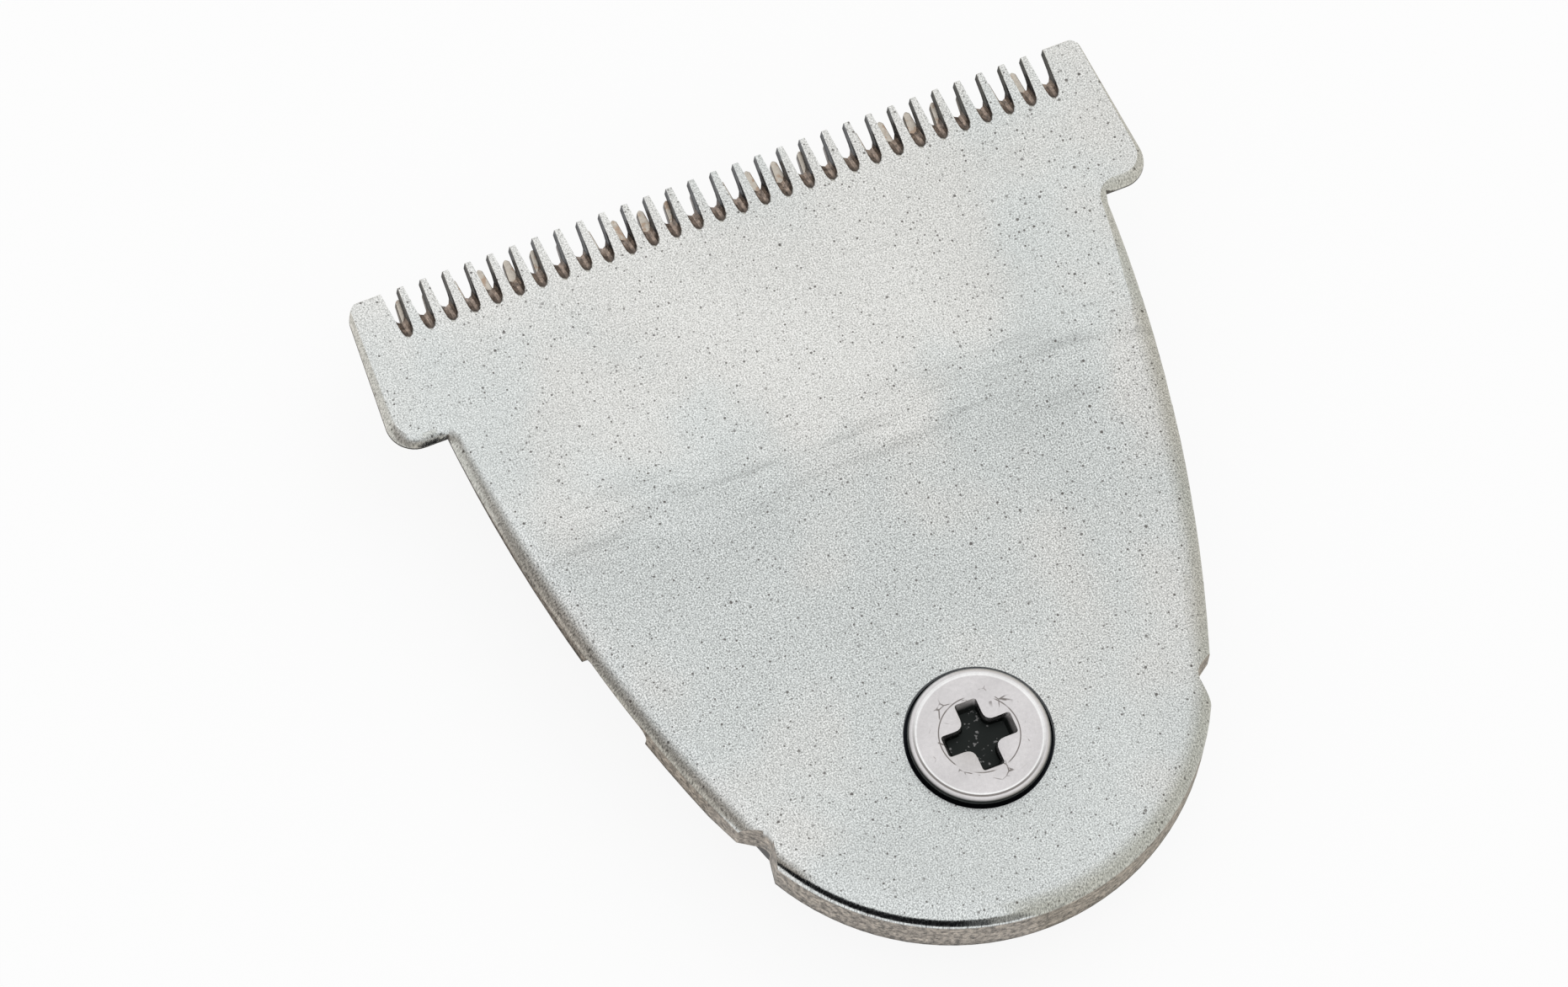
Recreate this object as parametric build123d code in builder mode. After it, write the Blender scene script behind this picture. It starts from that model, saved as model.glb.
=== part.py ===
from build123d import *
import os
from math import asin, cos, radians, sin, sqrt, tan

# Clip-on trimmer blade: a sintered comb plate, a cutter that slides behind it on a moulded yoke, a moulded
# base, a wire spring that presses the cutter to the comb, and one cross-recess screw. Millimetres.
# X runs along the tooth row, +Y points at the tooth tips and +Z out of the front face. The origin is the middle
# of the outline, on the plane that the base stands on.

# Comb plate, seen from the front
overall_length = 34.55
tip_width = 32.4
head_flare = 5.0
head_length = 6.8
head_corner = 0.9
wing_corner = 1.2
shoulder_corner = 0.5
wing_overhang = 2.28
side_bulge = 0.8
side_blend = 5.0
tail_radius = 10.8
tail_start = 3.0
notch_from_tail = 6.7
notch_depth = 0.75
notch_width = 2.4
notch_round = 0.6
notch_lead = 2.6
notch_lead_rise = 0.55

# Comb plate, section
skirt_depth = 2.9
wall = 1.25
face_thickness = 0.85
edge_radius = 1.1
grind_start = 13.2
grind_angle = 2.5
tip_thickness = 0.46
land_length = 3.4
relief_length = 2.8
relief_depth = 0.15
lug_gap_from_tail = 13.0
lug_gap_length = 4.1
lug_gap_height = 0.9
lug_corner = 0.5

# Comb teeth
tooth_count = 29
pitch = 0.985
groove_length = 2.4
groove_ramp = 30.0
groove_width = 0.55
groove_flare = 7.0
floor_flats = 6
tip_flat = 0.1
tip_bevel = 40.0

# Cutter
cutter_teeth = 24
cutter_pitch = 1.182
cutter_setback = 0.4
cutter_tooth_length = 2.1
cutter_tip_width = 0.26
cutter_gap_root = 0.54
cutter_tip_chamfer = 0.1
cutter_thickness = 0.7
cutter_tip_relief = 0.3
cutter_relief_length = 3.0
cutter_bar_length = 4.6
cutter_length = 8.5
cutter_rear_width = 21.0
cutter_rear_corner = 1.5
slide_gap = 0.05
stroke = 2.4
stroke_gap = 0.2
cutter_shift = -0.42

# Yoke
yoke_bar_length = 4.4
yoke_bar_thickness = 1.5
yoke_block_width = 8.0
yoke_block_length = 7.4
yoke_corner = 0.6
drive_slot_width = 3.0
drive_slot_length = 5.0
drive_slot_roof = 0.8
peg_diameter = 1.6
peg_spacing = 9.0
peg_fit = 0.02
peg_drop = 0.1
floor_gap = 0.3

# Base
base_drop = 2.1
base_fit = 0.15
base_wall = 1.2
base_roof = 1.2
base_front = 6.0
rail_gap = 1.6
boss_diameter = 5.6
boss_rise = 0.6
rib_thickness = 0.9
tongue_width = 7.0
tongue_thickness = 1.2
tongue_rise = 0.9
tongue_reach = 0.3

# Spring
wire_diameter = 0.7
wire_fit = 0.05
spring_side_gap = 0.15
spring_bend = 1.5
spring_end = 0.8
spring_groove_depth = 0.45

# Screw
screw_from_tail = 7.55
head_diameter = 5.8
head_proud = 0.5
head_sunk = 0.3
head_edge = 0.22
head_fit = 0.12
shank_diameter = 2.5
shank_fit = 0.02
shank_hole = 2.7
shank_length = 3.6
shank_point = 0.5
shank_room = 0.2
recess_span = 2.9
recess_arm = 0.95
recess_depth = 0.62
recess_taper = 7.0

os.makedirs("parts", exist_ok=True)

# Places that follow from the sizes above
tip_y = overall_length / 2
tail_y = -overall_length / 2
shoulder_y = tip_y - head_length
tail_centre_y = tail_y + tail_radius
side_end = (sqrt(tail_radius**2 - tail_start**2), tail_centre_y - tail_start)
wing_x = tip_width / 2 + head_length * tan(radians(head_flare))
neck_x = wing_x - wing_overhang
screw_y = tail_y + screw_from_tail
reach = overall_length

skirt_z = base_drop
face_z = skirt_z + skirt_depth
slide_z = face_z - grind_start * tan(radians(grind_angle)) - tip_thickness
pocket_z = face_z - face_thickness
skirt_slope = (slide_z - skirt_z) / (shoulder_y - tail_y)
lug_gap_y = tail_y + lug_gap_from_tail + lug_gap_length / 2
lug_gap_z = skirt_z + (lug_gap_y - tail_y) * skirt_slope
cutter_top_z = slide_z - slide_gap
cutter_bottom_z = cutter_top_z - cutter_thickness
cutter_tip_y = tip_y - cutter_setback
cutter_rear_y = cutter_tip_y - cutter_length
yoke_front_y = cutter_rear_y + yoke_bar_length
yoke_bar_z = cutter_bottom_z - yoke_bar_thickness
spring_y = yoke_front_y - yoke_bar_length / 2
spring_z = yoke_bar_z + spring_groove_depth - wire_fit - wire_diameter / 2
base_front_y = screw_y + base_front
spring_end_y = base_front_y - base_wall - spring_end
seat_z = face_z - head_sunk
shank_end_z = seat_z - shank_length
rail_front_y = cutter_rear_y - rail_gap


def plate_outline(front_y):
    """Half of the plate's outline with square corners, mirrored and filled, with its front edge at front_y."""
    front_x = tip_width / 2 - (front_y - tip_y) * tan(radians(head_flare))
    with BuildSketch() as outline:
        with BuildLine():
            front = Line((0, front_y), (front_x, front_y))
            cheek = Line(front @ 1, (wing_x, shoulder_y))
            shoulder = Line(cheek @ 1, (neck_x, shoulder_y))
            side = SagittaArc(shoulder @ 1, side_end, side_bulge)
            RadiusArc(side @ 1, (0, tail_y), tail_radius)
            mirror(about=Plane.YZ)
        make_face()
    return outline.sketch


def round_floor(radius):
    """Points of a half circle that stands on the origin, from its left end to its right one."""
    turns = [radians(180 * step / floor_flats) for step in range(floor_flats + 1)]
    return [(-radius * cos(turn), radius - radius * sin(turn)) for turn in turns]


square_outline = plate_outline(tip_y)
inner_outline = offset(plate_outline(tip_y + 2 * wall), -wall, kind=Kind.INTERSECTION)
base_outline = offset(plate_outline(tip_y + 2 * wall), -wall - base_fit, kind=Kind.INTERSECTION)
base_inside = offset(plate_outline(tip_y + 2 * wall), -wall - base_fit - base_wall, kind=Kind.INTERSECTION)

# The spring's ends stay clear of the base's inner walls, and the yoke stays clear of the spring's bends
with BuildSketch() as spring_bay:
    add(base_inside)
    with Locations((0, spring_end_y)):
        Rectangle(reach, reach, align=(Align.CENTER, Align.MAX), mode=Mode.INTERSECT)
spring_x = spring_bay.sketch.bounding_box().max.X - spring_side_gap - wire_diameter / 2
yoke_width = 2 * (spring_x - spring_bend - stroke_gap) - stroke

# Section of one comb groove: a floor rounded in short flats, with flanks that flare a little
with BuildSketch() as groove:
    top_x = groove_width / 2 + groove_length * tan(radians(groove_flare))
    with BuildLine():
        floor = Polyline(*round_floor(groove_width / 2))
        Polyline(floor @ 1, (top_x, groove_length), (-top_x, groove_length), floor @ 0)
    make_face()

# The mouth of one groove: a flare that takes the corners off the tooth tips
with BuildSketch() as tip_mouth:
    mouth_x = (pitch - tip_flat) / 2
    with BuildLine():
        Polyline((0, tip_y - mouth_x / tan(radians(tip_bevel))), (mouth_x, tip_y), (-mouth_x, tip_y), close=True)
    make_face()

# Comb plate: the outline with its face edge rounded
with BuildPart() as comb_plate:
    with BuildSketch(Plane.XY.offset(skirt_z)):
        add(square_outline)
        fillet(vertices().filter_by(lambda v: abs(abs(v.X) - wing_x) < shoulder_corner / 2), wing_corner)
        fillet(vertices().filter_by(lambda v: abs(abs(v.X) - neck_x) < shoulder_corner / 2
                                    and abs(v.Y - shoulder_y) < shoulder_corner / 2), shoulder_corner)
        fillet(vertices().filter_by(lambda v: abs(v.Y - side_end[1]) < shoulder_corner), side_blend)
    extrude(amount=skirt_depth)
    fillet(edges().group_by(Axis.Z)[-1], edge_radius)

    # The face is ground away towards the tooth tips
    with BuildSketch(Plane.YZ):
        with BuildLine():
            Polyline(
                (tip_y - grind_start, face_z),
                (tip_y - grind_start + reach, face_z - reach * tan(radians(grind_angle))),
                (tip_y - grind_start + reach, face_z + reach),
                close=True,
            )
        make_face()
    extrude(amount=reach, both=True, mode=Mode.SUBTRACT)

    # The front corners are rounded through the ground face
    with BuildSketch(Plane.XY.offset(skirt_z)):
        add(square_outline)
        fillet(vertices().group_by(Axis.Y)[-1], head_corner)
    extrude(amount=skirt_depth, mode=Mode.INTERSECT)

    # The hollow back: a front pocket down to the sliding face, a deeper one behind the cutter
    with BuildSketch(Plane.XY.offset(skirt_z)):
        add(inner_outline)
        with Locations((0, cutter_rear_y)):
            Rectangle(reach, reach, align=(Align.CENTER, Align.MAX), mode=Mode.SUBTRACT)
    extrude(amount=slide_z - skirt_z, mode=Mode.SUBTRACT)
    with BuildSketch(Plane.XY.offset(skirt_z)):
        add(inner_outline)
        with Locations((0, cutter_rear_y)):
            Rectangle(reach, reach, align=(Align.CENTER, Align.MAX), mode=Mode.INTERSECT)
    extrude(amount=pocket_z - skirt_z, mode=Mode.SUBTRACT)
    with BuildSketch(Plane.XY.offset(slide_z)):
        with Locations((0, tip_y - land_length - relief_length / 2)):
            Rectangle(cutter_rear_width, relief_length)
    extrude(amount=relief_depth, mode=Mode.SUBTRACT)

    # The head is flat underneath, the skirt deepens from the shoulders to the tail and is lower between its lugs
    with BuildSketch(Plane.YZ):
        with BuildLine():
            Polyline((tip_y, slide_z), (shoulder_y, slide_z), (tail_y, skirt_z), (tip_y, skirt_z), close=True)
        make_face()
    extrude(amount=reach, both=True, mode=Mode.SUBTRACT)
    with BuildSketch(Plane((0, lug_gap_y, lug_gap_z), x_dir=(0, 1, skirt_slope), z_dir=(1, 0, 0))):
        Rectangle(lug_gap_length, 2 * lug_gap_height)
        fillet(vertices().group_by(Axis.Y)[-1], lug_corner)
    extrude(amount=reach, both=True, mode=Mode.SUBTRACT)

    # Latch notches in the two edges, with the skirt rising towards them
    notch_y = tail_y + notch_from_tail
    lead_z = skirt_z + notch_from_tail * skirt_slope + notch_lead_rise
    with BuildSketch(Plane.YZ):
        with BuildLine():
            Polyline((notch_y, skirt_z), (notch_y, lead_z),
                     (notch_y + notch_lead, skirt_z + (notch_from_tail + notch_lead) * skirt_slope),
                     (notch_y + notch_lead, skirt_z), close=True)
        make_face()
    extrude(amount=reach, both=True, mode=Mode.SUBTRACT)
    notch_turn = asin((notch_y - tail_centre_y) / tail_radius)
    notch_planes = [Plane((side * tail_radius * cos(notch_turn), notch_y, skirt_z),
                          x_dir=(side * cos(notch_turn), sin(notch_turn), 0)) for side in (-1, 1)]
    with BuildSketch(*notch_planes):
        with BuildLine():
            Polyline((wall, notch_width), (0, notch_width), (0, notch_width / 2), (-notch_depth, 0),
                     (0, -notch_width / 2), (0, -notch_width), (wall, -notch_width), close=True)
        make_face()
        fillet(vertices().filter_by(lambda v: abs(v.Y) < notch_width - notch_depth), notch_round)
    extrude(amount=skirt_depth, mode=Mode.SUBTRACT)

    # Screw seat
    with Locations((0, screw_y, face_z)):
        CounterBoreHole(shank_hole / 2, head_diameter / 2 + head_fit, head_sunk)

    # Tooth row: the grooves ramp down from the face and run out at the tips
    groove_run = Vector(0, cos(radians(groove_ramp)), -sin(radians(groove_ramp)))
    groove_root_z = face_z - (grind_start - groove_length) * tan(radians(grind_angle))
    groove_root = Vector(0, tip_y - groove_length, groove_root_z)
    with BuildSketch(Plane(groove_root - groove_run * groove_length, x_dir=(-1, 0, 0), z_dir=groove_run)):
        with GridLocations(pitch, pitch, tooth_count + 1, 1):
            add(groove.sketch)
    extrude(amount=2 * groove_length + groove_length / cos(radians(groove_ramp)), mode=Mode.SUBTRACT)

    # Each gap opens out between the tooth tips
    with BuildSketch(Plane.XY.offset(skirt_z)):
        with GridLocations(pitch, pitch, tooth_count + 1, 1):
            add(tip_mouth.sketch)
    extrude(amount=skirt_depth, mode=Mode.SUBTRACT)
comb_plate.part.label = "comb_plate"
export_step(comb_plate.part, "parts/comb_plate.step")

# One gap between cutter teeth: a root rounded in short flats, widening to the tips
with BuildSketch() as cutter_gap:
    mouth_x = (cutter_pitch - cutter_tip_width) / 2
    with BuildLine():
        root = Polyline(*round_floor(cutter_gap_root / 2))
        Polyline(root @ 1, (mouth_x, cutter_tooth_length), (-mouth_x, cutter_tooth_length), root @ 0)
    make_face()

# Cutter: a toothed bar with a narrower tail that carries the yoke
with BuildPart() as cutter_blade:
    with BuildSketch(Plane.XY.offset(cutter_bottom_z)):
        with Locations((cutter_shift, cutter_tip_y)):
            Rectangle(cutter_teeth * cutter_pitch - cutter_gap_root, cutter_bar_length,
                      align=(Align.CENTER, Align.MAX))
            Rectangle(cutter_rear_width, cutter_length, align=(Align.CENTER, Align.MAX))
        fillet(vertices().group_by(Axis.Y)[0], cutter_rear_corner)
        with Locations((cutter_shift, cutter_tip_y - cutter_tooth_length)):
            with GridLocations(cutter_pitch, cutter_pitch, cutter_teeth + 1, 1):
                add(cutter_gap.sketch, mode=Mode.SUBTRACT)
        chamfer(vertices().group_by(Axis.Y)[-1], cutter_tip_chamfer)
        with Locations((cutter_shift, spring_y)):
            with GridLocations(peg_spacing, peg_spacing, 2, 1):
                Circle(peg_diameter / 2 + peg_fit, mode=Mode.SUBTRACT)
    extrude(amount=cutter_thickness)
    with BuildSketch(Plane.YZ):
        with BuildLine():
            Polyline((cutter_tip_y, cutter_bottom_z), (cutter_tip_y, cutter_bottom_z + cutter_tip_relief),
                     (cutter_tip_y - cutter_relief_length, cutter_bottom_z), close=True)
        make_face()
    extrude(amount=reach, both=True, mode=Mode.SUBTRACT)
cutter_blade.part.label = "cutter_blade"
export_step(cutter_blade.part, "parts/cutter_blade.step")

# Yoke: a bar pegged to the cutter, with a block behind it that holds the slot for the drive pin
with BuildPart() as cutter_yoke:
    with BuildSketch(Plane.XY.offset(yoke_bar_z)):
        with Locations((cutter_shift, spring_y)):
            RectangleRounded(yoke_width, yoke_bar_length, yoke_corner)
    extrude(amount=yoke_bar_thickness)
    with BuildSketch(Plane.XY.offset(floor_gap)):
        with Locations((cutter_shift, cutter_rear_y + yoke_corner)):
            Rectangle(yoke_block_width, yoke_block_length, align=(Align.CENTER, Align.MAX))
        fillet(vertices(), yoke_corner)
    extrude(amount=cutter_bottom_z - floor_gap)
    with BuildSketch(Plane.XY.offset(floor_gap)):
        with Locations((cutter_shift, cutter_rear_y - yoke_block_length / 2)):
            SlotOverall(drive_slot_length, drive_slot_width, rotation=90)
    extrude(amount=cutter_bottom_z - drive_slot_roof - floor_gap, mode=Mode.SUBTRACT)
    with BuildSketch(Plane.YZ):
        with Locations((spring_y, yoke_bar_z)):
            Rectangle(wire_diameter + 2 * wire_fit, 2 * spring_groove_depth)
    extrude(amount=reach, both=True, mode=Mode.SUBTRACT)
    with BuildSketch(Plane.XY.offset(cutter_bottom_z)):
        with Locations((cutter_shift, spring_y)):
            with GridLocations(peg_spacing, peg_spacing, 2, 1):
                Circle(peg_diameter / 2)
    extrude(amount=cutter_thickness - peg_drop)
cutter_yoke.part.label = "cutter_yoke"
export_step(cutter_yoke.part, "parts/cutter_yoke.step")

# The open bay between the base's rails, and the hollow behind its front wall
with BuildSketch() as rail_bay:
    add(base_inside)
    with Locations((0, base_front_y)):
        Rectangle(reach, reach, align=(Align.CENTER, Align.MAX), mode=Mode.SUBTRACT)
with BuildSketch() as base_hollow:
    add(base_inside)
    with Locations((0, base_front_y - base_wall)):
        Rectangle(reach, reach, align=(Align.CENTER, Align.MAX), mode=Mode.INTERSECT)

# Base: a moulding that fills the back of the plate, with two rails, a screw boss with ribs and a tail tongue
with BuildPart() as blade_base:
    with BuildSketch():
        add(base_outline)
        with Locations((0, rail_front_y)):
            Rectangle(reach, reach, align=(Align.CENTER, Align.MAX), mode=Mode.INTERSECT)
        add(rail_bay.sketch, mode=Mode.SUBTRACT)
    extrude(amount=pocket_z)
    with BuildSketch():
        add(base_hollow.sketch)
    extrude(amount=boss_rise, mode=Mode.SUBTRACT)
    with BuildSketch():
        add(base_hollow.sketch)
        with Locations((0, screw_y)):
            Circle(boss_diameter / 2, mode=Mode.SUBTRACT)
            Rectangle(reach, rib_thickness, mode=Mode.SUBTRACT)
            Rectangle(rib_thickness, reach, mode=Mode.SUBTRACT)
    extrude(amount=pocket_z - base_roof, mode=Mode.SUBTRACT)
    with Locations((0, screw_y, pocket_z)):
        Hole(shank_diameter / 2 + shank_fit, depth=pocket_z - shank_end_z + shank_room)
    with BuildSketch(Plane.XZ.offset(-base_front_y)):
        with Locations((-spring_x, spring_z), (spring_x, spring_z)):
            Circle(wire_diameter / 2 + wire_fit)
    extrude(amount=base_wall + spring_end + wire_fit, mode=Mode.SUBTRACT)
    with Locations((0, tail_y + wall + base_fit - tongue_reach, tongue_rise)):
        Box(tongue_width, base_wall + tongue_reach, tongue_thickness,
            align=(Align.CENTER, Align.MIN, Align.MIN))
blade_base.part.label = "blade_base"
export_step(blade_base.part, "parts/blade_base.step")

# Spring: a flat bow of wire whose cross run lies in the yoke's groove and whose ends sit in the base wall
with BuildPart() as tension_spring:
    with BuildLine(Plane.XY.offset(spring_z)) as bow:
        FilletPolyline((-spring_x, spring_end_y), (-spring_x, spring_y), (spring_x, spring_y),
                       (spring_x, spring_end_y), radius=spring_bend)
    with BuildSketch(bow.line ^ 0):
        Circle(wire_diameter / 2)
    sweep(path=bow.line)
tension_spring.part.label = "tension_spring"
export_step(tension_spring.part, "parts/tension_spring.step")

# Screw: a pan head with a cross recess, sunk a little into the plate, and a plain shank in the boss
with BuildPart() as fixing_screw:
    with BuildSketch(Plane.XZ.offset(-screw_y)):
        with BuildLine():
            Polyline(
                (0, shank_end_z),
                (shank_diameter / 2 - shank_point / 2, shank_end_z),
                (shank_diameter / 2, shank_end_z + shank_point),
                (shank_diameter / 2, seat_z),
                (head_diameter / 2, seat_z),
                (head_diameter / 2, face_z + head_proud),
                (0, face_z + head_proud),
                close=True,
            )
        make_face()
        chamfer(vertices().group_by(Axis.X)[-1].sort_by(Axis.Y)[-1], head_edge)
    revolve(axis=Axis((0, screw_y, 0), (0, 0, 1)))
    with BuildSketch(Plane.XY.offset(face_z + head_proud)):
        with Locations((0, screw_y)):
            Rectangle(recess_span, recess_arm)
            Rectangle(recess_arm, recess_span)
    extrude(amount=-recess_depth, taper=recess_taper, mode=Mode.SUBTRACT)
fixing_screw.part.label = "fixing_screw"
export_step(fixing_screw.part, "parts/fixing_screw.step")
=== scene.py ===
import math

import bmesh
import bpy
from mathutils import Matrix, Vector


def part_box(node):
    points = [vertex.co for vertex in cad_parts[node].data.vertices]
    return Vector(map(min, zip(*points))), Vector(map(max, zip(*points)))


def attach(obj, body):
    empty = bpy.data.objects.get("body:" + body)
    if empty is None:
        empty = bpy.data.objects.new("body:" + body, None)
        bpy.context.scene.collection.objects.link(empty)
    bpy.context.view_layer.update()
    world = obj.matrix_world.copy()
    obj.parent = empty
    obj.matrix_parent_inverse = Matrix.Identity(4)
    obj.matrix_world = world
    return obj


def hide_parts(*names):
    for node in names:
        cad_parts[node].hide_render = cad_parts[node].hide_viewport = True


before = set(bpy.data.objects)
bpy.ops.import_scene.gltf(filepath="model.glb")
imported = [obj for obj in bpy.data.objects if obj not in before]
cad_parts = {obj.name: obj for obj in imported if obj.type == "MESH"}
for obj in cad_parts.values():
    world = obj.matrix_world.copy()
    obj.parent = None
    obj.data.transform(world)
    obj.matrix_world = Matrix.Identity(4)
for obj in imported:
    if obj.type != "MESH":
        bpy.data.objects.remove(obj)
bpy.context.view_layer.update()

bl_info = {
    "name": "Trimmer Blade",
    "version": (1, 0, 0),
    "blender": (4, 5, 0),
    "location": "View3D > Sidebar > Trimmer Blade",
    "description": "Finishes the pieces of a clip-on trimmer blade and sets them on a studio floor",
    "category": "Object",
}

MM = 0.001
MM_PER_M = 1000.0
WELD = 1e-7
FLAT_ANGLE = math.radians(0.4)
EASED_SEGMENTS = 2
EASED_STEP_DEGREES = 8.0
SHARP_DEGREES = 28.0
SCREW_SHARP_DEGREES = 30.0
RECESS_SHARP_DEGREES = 50.0
RECESS_EASE = 0.035 * MM
SCREW_FACETS = 96
THREAD_FACETS = 28
FLOOR_DROP = 2e-5
MAT_STEPS = 32
SENSOR_WIDTH = 36.0
CLIP_START = 0.01
KEY_DIRECTION = (0.6, 0.45, 0.65)
KEY_DISTANCE = 0.9
KEY_SIDE = 0.8

PLATE_LOW, PLATE_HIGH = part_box("comb_plate")
SCREW_LOW, SCREW_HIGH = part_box("fixing_screw")
SCREW_X = (SCREW_LOW.x + SCREW_HIGH.x) / 2
SCREW_Y = (SCREW_LOW.y + SCREW_HIGH.y) / 2

# The same places in millimetres, the unit of the finishes
TIP_Y = PLATE_HIGH.y * MM_PER_M
TAIL_Y = PLATE_LOW.y * MM_PER_M
FACE_Z = PLATE_HIGH.z * MM_PER_M
SKIRT_Z = PLATE_LOW.z * MM_PER_M
SCREW_TOP = (SCREW_X * MM_PER_M, SCREW_Y * MM_PER_M, SCREW_HIGH.z * MM_PER_M)

# Floor mats: name, colour, inner and outer radius, first and last angle in degrees, height of the turned-up rim
MATS = (
    ("front_mat", "front_mat", 0.0215, 0.11, 212.0, 258.0, 0.0),
    ("fade_near_mat", "fade_near_mat", 0.0215, 0.11, 258.0, 263.0, 0.0),
    ("fade_far_mat", "fade_far_mat", 0.0215, 0.11, 263.0, 270.0, 0.0),
    ("shoulder_mat", "front_mat", 0.0115, 0.0158, 166.0, 182.0, 0.0),
    ("corner_mat", "front_mat", 0.0115, 0.0174, 146.0, 166.0, 0.0),
    ("neck_mat", "neck_mat", 0.0115, 0.019, 148.0, 180.0, 0.0),
    ("left_near_mat", "left_near_mat", 0.0115, 0.019, 180.0, 212.0, 0.0),
    ("left_far_mat", "left_far_mat", 0.019, 0.11, 158.0, 212.0, 0.065),
    ("wing_mat", "wing_mat", 0.019, 0.11, 120.0, 158.0, 0.04),
    ("right_mat", "right_mat", 0.012, 0.11, -90.0, 75.0, 0.19),
)
# Mats that lie on top of others
UPPER_MATS = ("shoulder_mat", "corner_mat")


def to_mm(length):
    """A length in metres as millimetres."""
    return length * MM_PER_M


def length_prop(name, description, default):
    """A length in metres."""
    return bpy.props.FloatProperty(
        name=name, description=description, default=default, min=0.0, precision=6, subtype="DISTANCE", unit="LENGTH"
    )


def offset_prop(name, description, default):
    """A length in metres that may be negative."""
    return bpy.props.FloatProperty(
        name=name, description=description, default=default, precision=6, subtype="DISTANCE", unit="LENGTH"
    )


def angle_prop(name, description, degrees):
    """An angle, given in degrees."""
    return bpy.props.FloatProperty(
        name=name, description=description, default=math.radians(degrees), subtype="ANGLE", unit="ROTATION"
    )


def share_prop(name, description, default):
    """A share from 0 to 1."""
    return bpy.props.FloatProperty(
        name=name, description=description, default=default, min=0.0, max=1.0, subtype="FACTOR"
    )


def level_prop(name, description, default):
    """A plain number above 0."""
    return bpy.props.FloatProperty(name=name, description=description, default=default, min=0.0)


def colour_prop(name, description, default):
    """A linear colour."""
    return bpy.props.FloatVectorProperty(
        name=name, description=description, default=default, size=3, min=0.0, max=1.0, subtype="COLOR"
    )


class PlateFinish(bpy.types.PropertyGroup):
    """The sintered comb plate: ground face, as-sintered walls and tooth grooves"""

    face_colour: colour_prop("Face", "Ground and tumbled steel of the face", (0.763, 0.767, 0.749))
    cool_colour: colour_prop("Cool face", "Cooler patches of the face", (0.726, 0.757, 0.751))
    wall_colour: colour_prop("Walls", "As-sintered steel of the side walls and the back", (0.33, 0.292, 0.25))
    groove_colour: colour_prop("Groove floors", "As-sintered steel of the groove floors", (0.2, 0.155, 0.125))
    # Near-black tooth flanks: darker as-sintered steel with painted shade on top. The same colour is the painted
    # shadow in the screw seat.
    flank_shade_colour: colour_prop("Tooth flanks", "Sides of the teeth inside the grooves", (0.018, 0.02, 0.025))
    pit_colour: colour_prop("Pits", "Open pores in the face", (0.1, 0.09, 0.085))
    eased_edge: length_prop("Eased edges", "Width of the bright eased edge on sharp corners", 0.025 * MM)
    face_roughness: share_prop("Face roughness", "Roughness of the flat face", 0.42)
    edge_roughness: share_prop("Tail edge roughness", "Roughness of the rubbed, rounded edge at the tail", 0.15)
    side_roughness: share_prop("Side edge roughness", "Roughness of the rounded edges along the sides", 0.27)
    rubbed_tail: length_prop("Rubbed tail", "Length of the tail whose edge is rubbed smooth", 6.2 * MM)
    shoulder_y: length_prop("Shoulders", "Distance from the tooth tips to the shoulders of the head", 6.8 * MM)
    skirt_slope: level_prop("Skirt slope", "Rise of the skirt's lower rim towards the teeth", 0.0672)
    wall_roughness: share_prop("Wall roughness", "Roughness of the as-sintered walls", 0.5)
    grain_per_mm: level_prop("Grain", "Grains per millimetre of the powder-metal surface", 15.0)
    pits_per_mm: level_prop("Pits per mm", "Cells per millimetre of the open pores", 1.6)
    specks_per_mm: level_prop("Specks per mm", "Cells per millimetre of the small dark specks", 4.5)
    wall_metal: share_prop("Wall metal", "How metallic the oxidised walls still look", 0.3)
    grind_start: length_prop("Grind start", "Distance from the tooth tips to where the ground flat ends", 13.2 * MM)
    grind_angle: angle_prop("Grind angle", "Slope of the ground flat towards the teeth", 2.5)
    groove_reach: length_prop("Groove reach", "How far the grooves run back from the tooth tips", 2.6 * MM)
    # Painted shadow: the plate is near-black in the seat round the screw head.
    seat_shadow_reach: length_prop("Screw seat", "Radius of the dark seat round the screw head", 3.1 * MM)
    groove_span: length_prop("Groove span", "Half the width of the grooved part of the row", 14.75 * MM)


class CutterFinish(bpy.types.PropertyGroup):
    """The sliding cutter behind the comb"""

    steel_colour: colour_prop("Steel", "Ground steel of the cutter", (0.62, 0.57, 0.5))
    stain_colour: colour_prop("Stains", "Brown heat stains on the cutter", (0.42, 0.28, 0.19))
    edge_colour: colour_prop("Edges", "Darker edges and walls of the cutter", (0.09, 0.072, 0.06))
    eased_edge: length_prop("Eased edges", "Width of the eased edge on the cutter", 0.035 * MM)
    roughness: share_prop("Roughness", "Roughness of the ground steel", 0.35)


class MouldingFinish(bpy.types.PropertyGroup):
    """The moulded yoke and base"""

    base_colour: colour_prop("Base", "Moulded plastic of the base", (0.075, 0.07, 0.066))
    yoke_colour: colour_prop("Yoke", "Moulded plastic of the yoke", (0.022, 0.022, 0.024))
    eased_edge: length_prop("Eased edges", "Rounding of the moulded corners", 0.08 * MM)
    roughness: share_prop("Roughness", "Roughness of the spark-eroded mould finish", 0.5)


class WireFinish(bpy.types.PropertyGroup):
    """The bent spring wire"""

    wire_colour: colour_prop("Wire", "Drawn spring steel", (0.42, 0.41, 0.4))
    roughness: share_prop("Roughness", "Roughness of the drawn wire", 0.28)


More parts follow.
